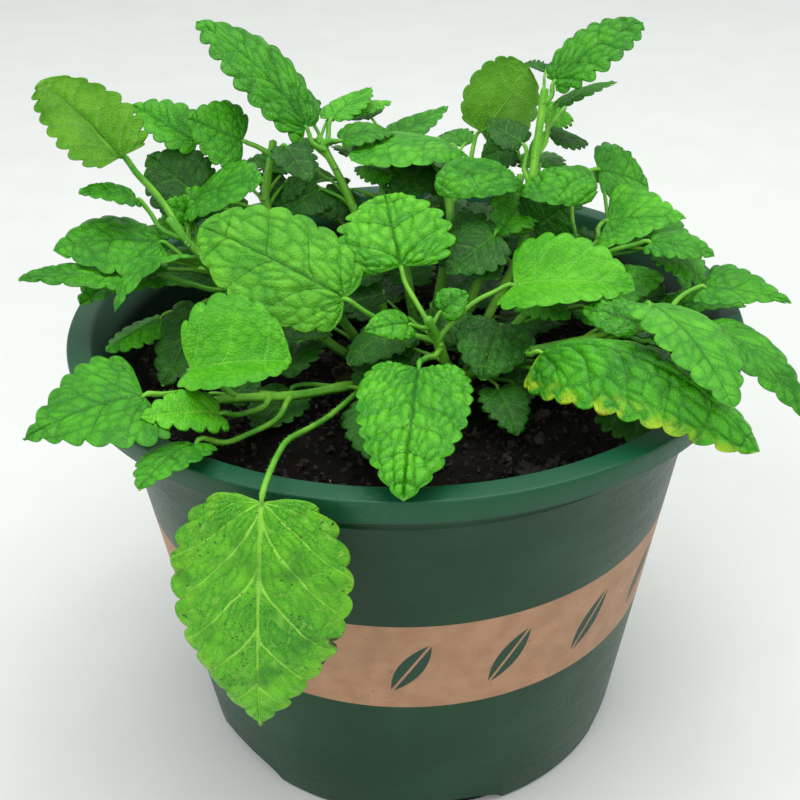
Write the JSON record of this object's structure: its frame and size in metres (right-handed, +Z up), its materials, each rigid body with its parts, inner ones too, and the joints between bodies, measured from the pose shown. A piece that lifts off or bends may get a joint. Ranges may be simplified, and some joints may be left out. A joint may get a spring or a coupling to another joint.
{
  "type": "potted lemon balm",
  "caption": "Young lemon balm plant with crinkled, toothed leaves on slender stems, growing in a round tapered green plastic pot with a printed band.",
  "frame": {"origin": "middle of the pot's flat underside, on the surface that the pot stands on", "axes": "+Z up along the pot's axis, -Y towards the side with the leaf that hangs over the rim, +X to that side's right"},
  "size_m": [0.191, 0.1874, 0.195],
  "materials": {
    "pot": "dark green moulded plastic with a dull sheen and a tan printed band",
    "soil": "moist dark potting soil with crumbs",
    "root": "fibrous brown root crown",
    "stem": "soft green square stem with fine hairs",
    "leaf_fresh": "bright yellow-green crinkled leaf",
    "leaf_mature": "mid-green crinkled leaf with a soft sheen",
    "leaf_dark": "dark green crinkled leaf"
  },
  "bodies": {
    "root": {"pot": "pot", "soil": "soil", "root_crown": "root", "stem_centre": "stem", "stem_front_left": "stem", "stem_left": "stem", "stem_upper_left": "stem", "stem_back": "stem", "stem_back_centre": "stem", "stem_middle": "stem", "stem_cluster": "stem", "stem_right": "stem", "stem_far_right": "stem", "stem_runner": "stem", "leaf_centre_young_left": "leaf_fresh", "leaf_centre_young_right": "leaf_fresh", "leaf_centre_back": "leaf_mature", "leaf_centre_front": "leaf_mature", "leaf_centre_left": "leaf_fresh", "leaf_centre_right": "leaf_fresh", "leaf_runner_upper": "leaf_fresh", "leaf_runner_lower": "leaf_fresh", "leaf_rim_left": "leaf_mature", "leaf_rim_drooping": "leaf_mature", "leaf_under_runner": "leaf_dark", "leaf_soil_left": "leaf_dark", "leaf_front_hanging": "leaf_mature", "leaf_left_upper": "leaf_mature", "leaf_left_small": "leaf_mature", "leaf_left_broad": "leaf_mature", "leaf_left_long": "leaf_mature", "leaf_left_curled": "leaf_mature", "leaf_left_shaded": "leaf_dark", "leaf_left_back": "leaf_dark", "leaf_left_inner": "leaf_mature", "leaf_far_left": "leaf_fresh", "leaf_upper_left": "leaf_mature", "leaf_upper_inner": "leaf_dark", "leaf_top_left": "leaf_dark", "leaf_back_far": "leaf_fresh", "leaf_back_inner": "leaf_mature", "leaf_back_arrow": "leaf_mature", "leaf_back_light": "leaf_fresh", "leaf_back_fan": "leaf_fresh", "leaf_inner_shaded": "leaf_dark", "leaf_cluster_left": "leaf_mature", "leaf_cluster_right": "leaf_mature", "leaf_cluster_under": "leaf_dark", "leaf_top_right": "leaf_dark", "leaf_right_narrow": "leaf_mature", "leaf_right_inner": "leaf_dark", "leaf_right_lobed": "leaf_dark", "leaf_far_right_back": "leaf_mature", "leaf_far_right": "leaf_mature", "leaf_far_right_low": "leaf_mature", "leaf_rim_right_back": "leaf_mature", "leaf_rim_right_long": "leaf_mature", "leaf_rim_right_front": "leaf_fresh", "leaf_front_large": "leaf_mature", "leaf_right_young": "leaf_mature"}
  },
  "joints": []
}
